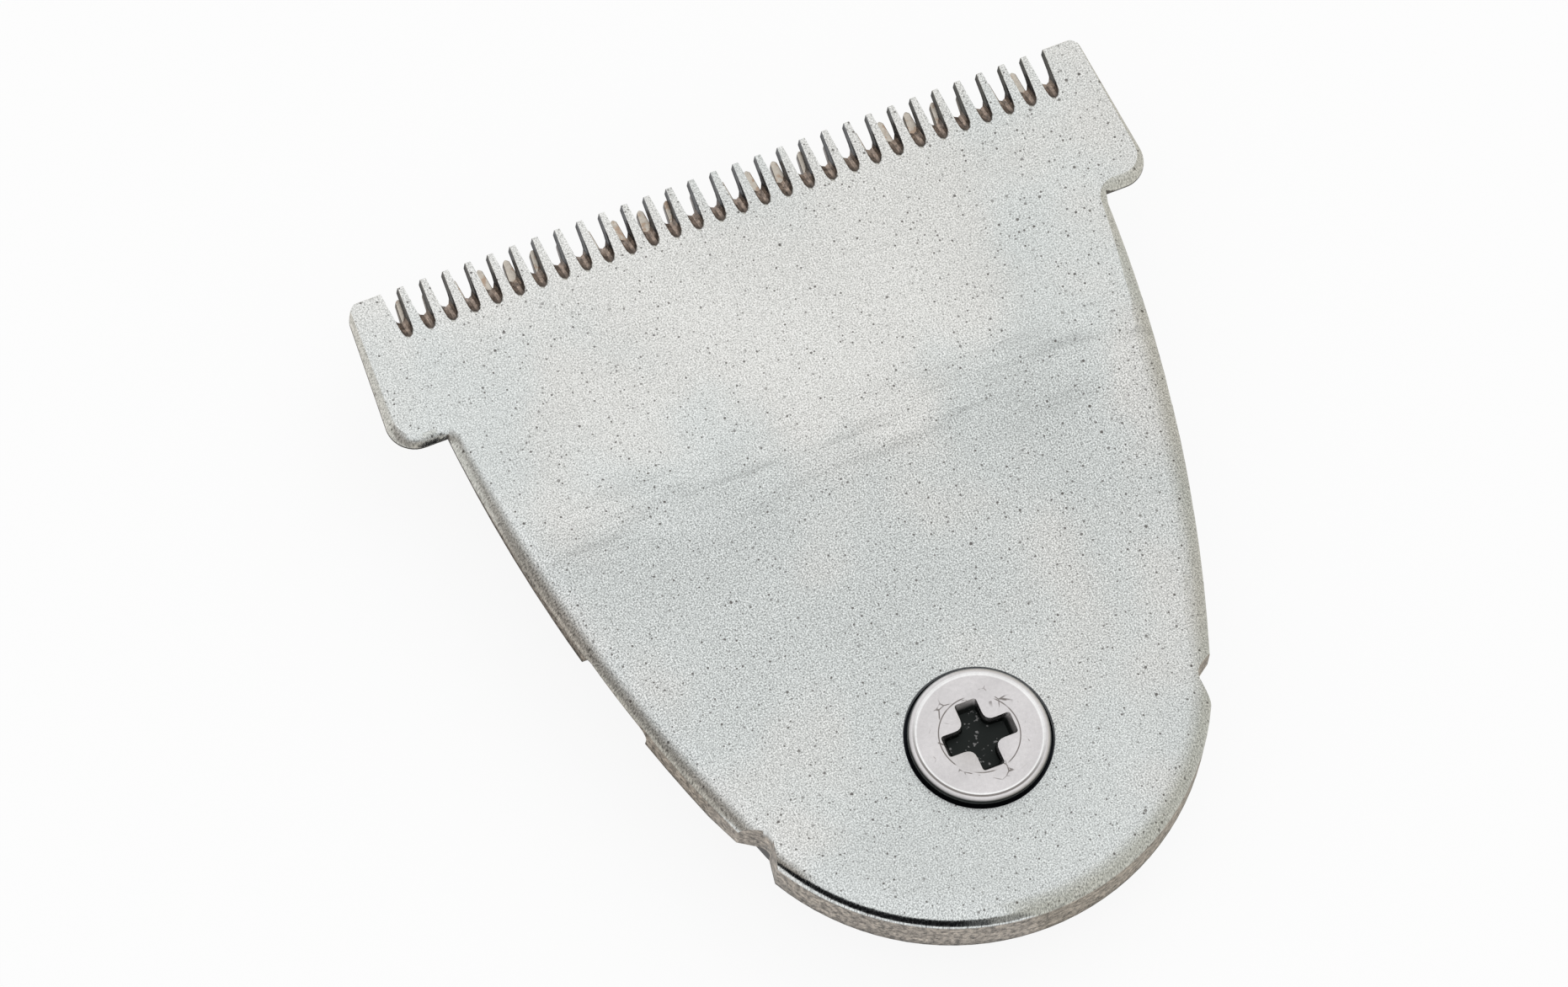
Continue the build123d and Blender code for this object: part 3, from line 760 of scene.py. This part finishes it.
def recess_tool(look, top):
    """The tapered punch of the cross recess, from above the head down to the recess floor."""
    tool = bmesh.new()
    rings = []
    for height in (look.recess_depth / 2, -look.recess_depth):
        span = look.recess_span + 2 * height * math.tan(look.recess_end_taper)
        arm = look.recess_arm + 2 * height * math.tan(look.recess_taper)
        outline = cross_outline(span, arm, look.recess_corner, look.recess_end_corner)
        rings.append([tool.verts.new((p.x, p.y, top + height)) for p in outline])
    count = len(rings[0])
    for step in range(count):
        after = (step + 1) % count
        tool.faces.new((rings[0][step], rings[0][after], rings[1][after], rings[1][step]))
    tool.faces.new(rings[0])
    tool.faces.new(rings[1])
    bmesh.ops.recalc_face_normals(tool, faces=tool.faces)
    return tool


def screw_profile(look, top, bottom):
    """Half-section of the screw's head and core, from the top of the axis to the point."""
    head = (SCREW_HIGH.x - SCREW_LOW.x) / 2
    dish = look.dish_diameter / 2
    core = look.shank_diameter / 2 - look.thread_depth
    edge, edge_steps = look.edge_round, 6
    under, chamfer = top - look.head_depth, 0.02 * MM
    profile = [(0.0, top - look.dish_depth), (dish * 0.35, top - look.dish_depth)]
    profile += [(dish * 0.96, top - 0.02 * MM), (dish, top - 0.004 * MM), (dish * 1.03, top)]
    for step in range(edge_steps + 1):
        angle = math.pi / 2 * (1 - step / edge_steps)
        profile.append((head - edge + edge * math.cos(angle), top - edge + edge * math.sin(angle)))
    profile += [(head, under + chamfer), (head - chamfer, under)]
    profile += [(core, under), (core, bottom + look.point_length), (0.0, bottom)]
    return profile


def thread_ridge(look, top, bottom):
    """The helical ridge of the thread, a closed sweep of a small blunt triangle."""
    ridge = bmesh.new()
    sunk, foot_share, crest_share, end_room, grown_turns = 1.15, 0.4, 0.15, 1.1, 0.5
    crest = look.shank_diameter / 2
    root = crest - look.thread_depth * sunk
    half = look.thread_pitch * foot_share
    blunt = half * crest_share
    start, end = top - look.head_depth - half * end_room, bottom + look.point_length + half * end_room
    count = int((start - end) / look.thread_pitch * THREAD_FACETS)
    loops = []
    for step in range(count + 1):
        turns, turns_left = step / THREAD_FACETS, (count - step) / THREAD_FACETS
        angle = math.tau * step / THREAD_FACETS
        height = start - look.thread_pitch * step / THREAD_FACETS
        peak = root + (crest - root) * min(1.0, turns / grown_turns, turns_left / grown_turns)
        section = ((root, half), (peak, blunt), (peak, -blunt), (root, -half))
        way = math.cos(angle), math.sin(angle)
        loops.append([ridge.verts.new((r * way[0], r * way[1], height + rise)) for r, rise in section])
    for one, two in zip(loops, loops[1:]):
        for corner in range(4):
            after = (corner + 1) % 4
            ridge.faces.new((one[corner], one[after], two[after], two[corner]))
    ridge.faces.new(loops[0])
    ridge.faces.new(loops[-1])
    bmesh.ops.recalc_face_normals(ridge, faces=ridge.faces)
    return ridge


def seen_rays(tree):
    """1 for rays of the camera, of reflections and through clear things, and 0 for the others."""
    path = tree.nodes.new("ShaderNodeLightPath")
    seen = path.outputs["Is Camera Ray"]
    for kind in ("Is Glossy Ray", "Is Transmission Ray"):
        either = tree.nodes.new("ShaderNodeMath")
        either.operation = "MAXIMUM"
        tree.links.new(seen, either.inputs[0])
        tree.links.new(path.outputs[kind], either.inputs[1])
        seen = either.outputs[0]
    return seen


def emission_floor(setup):
    """A pale floor that shows white and keeps a soft shadow."""
    floor = bpy.data.materials.new("pale_studio_floor")
    floor.use_nodes = True
    tree = floor.node_tree
    tree.nodes.clear()
    out = tree.nodes.new("ShaderNodeOutputMaterial")
    blend = tree.nodes.new("ShaderNodeMixShader")
    matt = tree.nodes.new("ShaderNodeBsdfDiffuse")
    matt.inputs["Color"].default_value = (*setup.floor_colour, 1.0)
    glow = tree.nodes.new("ShaderNodeEmission")
    share = tree.nodes.new("ShaderNodeMath")
    share.operation = "MULTIPLY"
    share.inputs[1].default_value = 1.0 - setup.floor_shade
    tree.links.new(seen_rays(tree), share.inputs[0])
    tree.links.new(share.outputs[0], blend.inputs["Fac"])
    tree.links.new(matt.outputs[0], blend.inputs[1])
    tree.links.new(glow.outputs[0], blend.inputs[2])
    tree.links.new(blend.outputs[0], out.inputs["Surface"])
    return floor


def studio_world(setup):
    """White to the camera and in reflections, softer as light."""
    world = bpy.data.worlds.new("studio_sky")
    bpy.context.scene.world = world
    world.use_nodes = True
    tree = world.node_tree
    sky = tree.nodes["Background"]
    sky.inputs["Color"].default_value = (1.0, 1.0, 1.0, 1.0)
    level = tree.nodes.new("ShaderNodeMapRange")
    level.inputs["To Min"].default_value = setup.sky_level
    level.inputs["To Max"].default_value = 1.0
    tree.links.new(seen_rays(tree), level.inputs["Value"])
    tree.links.new(level.outputs["Result"], sky.inputs["Strength"])


def floor_sheet(setup):
    """The square floor, just under the part."""
    body = bmesh.new()
    half = setup.floor_side / 2
    corners = ((-half, -half), (half, -half), (half, half), (-half, half))
    body.faces.new([body.verts.new((x, y, 0.0)) for x, y in corners])
    made = object_from(body, "studio_floor")
    made.location = (0.0, 0.0, -FLOOR_DROP)
    made.data.materials.append(emission_floor(setup))
    return made


def floor_mat(setup, name, colour_name, inner, outer, start, end, rise):
    """A ring sector on the floor that shows in reflections only. Its turned-up rim, if any, fades upwards."""
    body = bmesh.new()
    rows = []
    for step in range(MAT_STEPS + 1):
        angle = math.radians(start + (end - start) * step / MAT_STEPS)
        way = Vector((math.cos(angle), math.sin(angle), 0.0))
        points = [way * inner, way * outer]
        if rise > 0:
            points.append(way * outer + Vector((0.0, 0.0, rise)))
        rows.append([body.verts.new(point) for point in points])
    for one, two in zip(rows, rows[1:]):
        for at in range(len(one) - 1):
            body.faces.new((one[at], one[at + 1], two[at + 1], two[at]))
    made = object_from(body, name)
    made.location.z = -FLOOR_DROP / (4 if name in UPPER_MATS else 2)
    cloth = Finish(name)
    colour = getattr(setup, colour_name)
    if rise > 0:
        height = cloth.ramp(cloth.split(cloth.mm)[2], 0.0, to_mm(rise), smooth=False)
        colour = cloth.mix(height, colour, setup.mat_top)
    glow = cloth.tree.nodes.new("ShaderNodeEmission")
    cloth.join(glow.inputs["Color"], colour)
    cloth.tree.links.new(glow.outputs[0], cloth.tree.nodes["Material Output"].inputs["Surface"])
    made.data.materials.append(cloth.material)
    made.visible_camera = False
    made.visible_diffuse = False
    made.visible_shadow = False
    return made


def key_softbox(setup):
    """A large soft light that faces the part and leaves no glare on it."""
    lamp = bpy.data.lights.new("key_softbox", "AREA")
    lamp.shape = "SQUARE"
    lamp.size = KEY_SIDE
    lamp.energy = setup.key_watts
    made = bpy.data.objects.new("key_softbox", lamp)
    made.location = Vector(KEY_DIRECTION).normalized() * KEY_DISTANCE
    made.rotation_euler = Vector(KEY_DIRECTION).to_track_quat("Z", "Y").to_euler()
    made.visible_glossy = False
    bpy.context.scene.collection.objects.link(made)


def studio_camera(setup):
    """The camera at the photograph's angle."""
    flat = math.cos(setup.elevation)
    back = Vector((math.sin(setup.azimuth) * flat, -math.cos(setup.azimuth) * flat, math.sin(setup.elevation)))
    level_right = Vector((math.cos(setup.azimuth), math.sin(setup.azimuth), 0.0))
    level_up = back.cross(level_right)
    right = level_right * math.cos(setup.roll) + level_up * math.sin(setup.roll)
    up = back.cross(right)
    place = Vector((0.0, 0.0, setup.aim_height))
    place += right * setup.aim_right + up * setup.aim_up + back * setup.distance
    lens = bpy.data.cameras.new("studio_camera")
    lens.sensor_fit = "HORIZONTAL"
    lens.sensor_width = SENSOR_WIDTH
    lens.lens = SENSOR_WIDTH * setup.distance / setup.frame_width
    lens.clip_start = CLIP_START
    camera = bpy.data.objects.new("studio_camera", lens)
    turn = Matrix((right, up, back)).transposed().to_4x4()
    camera.matrix_world = Matrix.Translation(place) @ turn
    bpy.context.scene.collection.objects.link(camera)
    bpy.context.scene.camera = camera


class TRIMMER_OT_comb_plate(bpy.types.Operator):
    """Makes the finished comb plate"""

    bl_idname = "trimmer.comb_plate"
    bl_label = "Comb plate"

    def execute(self, context):
        look = context.scene.trimmer_blade.plate
        plate = finished_copy("comb_plate", "finished_comb_plate", look.eased_edge)
        settle(plate, plate_steel(look), "comb_plate", "comb")
        return {"FINISHED"}


class TRIMMER_OT_cutter(bpy.types.Operator):
    """Makes the finished cutter"""

    bl_idname = "trimmer.cutter"
    bl_label = "Cutter"

    def execute(self, context):
        look = context.scene.trimmer_blade.cutter
        cutter = finished_copy("cutter_blade", "finished_cutter", look.eased_edge)
        settle(cutter, cutter_steel(look), "cutter_blade", "cutter")
        return {"FINISHED"}


class TRIMMER_OT_mouldings(bpy.types.Operator):
    """Makes the moulded yoke and base"""

    bl_idname = "trimmer.mouldings"
    bl_label = "Yoke and base"

    def execute(self, context):
        look = context.scene.trimmer_blade.moulding
        yoke = finished_copy("cutter_yoke", "moulded_yoke", look.eased_edge)
        yoke_finish = moulded_plastic("moulded_yoke_plastic", look.yoke_colour, look)
        settle(yoke, yoke_finish, "cutter_yoke", "cutter")
        base = finished_copy("blade_base", "moulded_base", look.eased_edge)
        base_finish = moulded_plastic("moulded_base_plastic", look.base_colour, look)
        settle(base, base_finish, "blade_base", "comb")
        return {"FINISHED"}


class TRIMMER_OT_spring(bpy.types.Operator):
    """Makes the bent spring wire"""

    bl_idname = "trimmer.spring"
    bl_label = "Spring"

    def execute(self, context):
        look = context.scene.trimmer_blade.wire
        spring = finished_copy("tension_spring", "bent_spring_wire", 0.0)
        settle(spring, drawn_wire(look), "tension_spring", "comb")
        return {"FINISHED"}


class TRIMMER_OT_screw(bpy.types.Operator):
    """Makes the fixing screw with its recess and thread"""

    bl_idname = "trimmer.screw"
    bl_label = "Screw"

    def execute(self, context):
        look = context.scene.trimmer_blade.screw
        top, bottom = SCREW_HIGH.z, SCREW_LOW.z
        screw = object_from(lathe(screw_profile(look, top, bottom), SCREW_FACETS), "finished_screw")
        punch = object_from(recess_tool(look, top), "recess_punch")
        cut = screw.modifiers.new("recess", "BOOLEAN")
        cut.operation = "DIFFERENCE"
        cut.solver = "EXACT"
        cut.object = punch
        apply_modifiers(screw)
        bpy.data.objects.remove(punch)
        ease = screw.modifiers.new("worn_recess", "BEVEL")
        ease.width = RECESS_EASE
        ease.segments = EASED_SEGMENTS
        ease.limit_method = "ANGLE"
        ease.angle_limit = math.radians(RECESS_SHARP_DEGREES)
        smooth_piece(screw, SCREW_SHARP_DEGREES)
        body = thread_ridge(look, top, bottom)
        body.from_mesh(screw.data)
        body.to_mesh(screw.data)
        body.free()
        screw.data.transform(Matrix.Translation((SCREW_X, SCREW_Y, 0.0)))
        smooth_piece(screw, SCREW_SHARP_DEGREES)
        settle(screw, plated_screw(look), "fixing_screw", "comb")
        return {"FINISHED"}


class TRIMMER_OT_stage(bpy.types.Operator):
    """Sets the floor, the light and the camera"""

    bl_idname = "trimmer.stage"
    bl_label = "Stage"

    def execute(self, context):
        setup = context.scene.trimmer_blade.studio
        context.scene.view_settings.view_transform = "Standard"
        floor = floor_sheet(setup)
        mats = [floor_mat(setup, *row) for row in MATS]
        studio_world(setup)
        key_softbox(setup)
        studio_camera(setup)
        return {"FINISHED"}


class TRIMMER_PT_sidebar(bpy.types.Panel):
    """Pieces and finishes of the trimmer blade"""

    bl_idname = "TRIMMER_PT_sidebar"
    bl_label = "Trimmer Blade"
    bl_space_type = "VIEW_3D"
    bl_region_type = "UI"
    bl_category = "Trimmer Blade"

    def draw(self, context):
        settings = context.scene.trimmer_blade
        groups = (
            ("plate", TRIMMER_OT_comb_plate),
            ("cutter", TRIMMER_OT_cutter),
            ("moulding", TRIMMER_OT_mouldings),
            ("wire", TRIMMER_OT_spring),
            ("screw", TRIMMER_OT_screw),
            ("studio", TRIMMER_OT_stage),
        )
        for group_name, operator in groups:
            box = self.layout.box()
            box.operator(operator.bl_idname)
            group = getattr(settings, group_name)
            for name in group.__annotations__:
                box.prop(group, name)


CLASSES = (
    PlateFinish,
    CutterFinish,
    MouldingFinish,
    WireFinish,
    ScrewFinish,
    StudioSetup,
    BladeSettings,
    TRIMMER_OT_comb_plate,
    TRIMMER_OT_cutter,
    TRIMMER_OT_mouldings,
    TRIMMER_OT_spring,
    TRIMMER_OT_screw,
    TRIMMER_OT_stage,
    TRIMMER_PT_sidebar,
)


def register():
    for one in CLASSES:
        bpy.utils.register_class(one)
    bpy.types.Scene.trimmer_blade = bpy.props.PointerProperty(type=BladeSettings)


def unregister():
    del bpy.types.Scene.trimmer_blade
    for one in reversed(CLASSES):
        bpy.utils.unregister_class(one)


def main():
    """Makes every piece and the stage."""
    register()
    bpy.ops.trimmer.comb_plate()
    bpy.ops.trimmer.cutter()
    bpy.ops.trimmer.mouldings()
    bpy.ops.trimmer.spring()
    bpy.ops.trimmer.screw()
    bpy.ops.trimmer.stage()


if __name__ == "__main__":
    main()
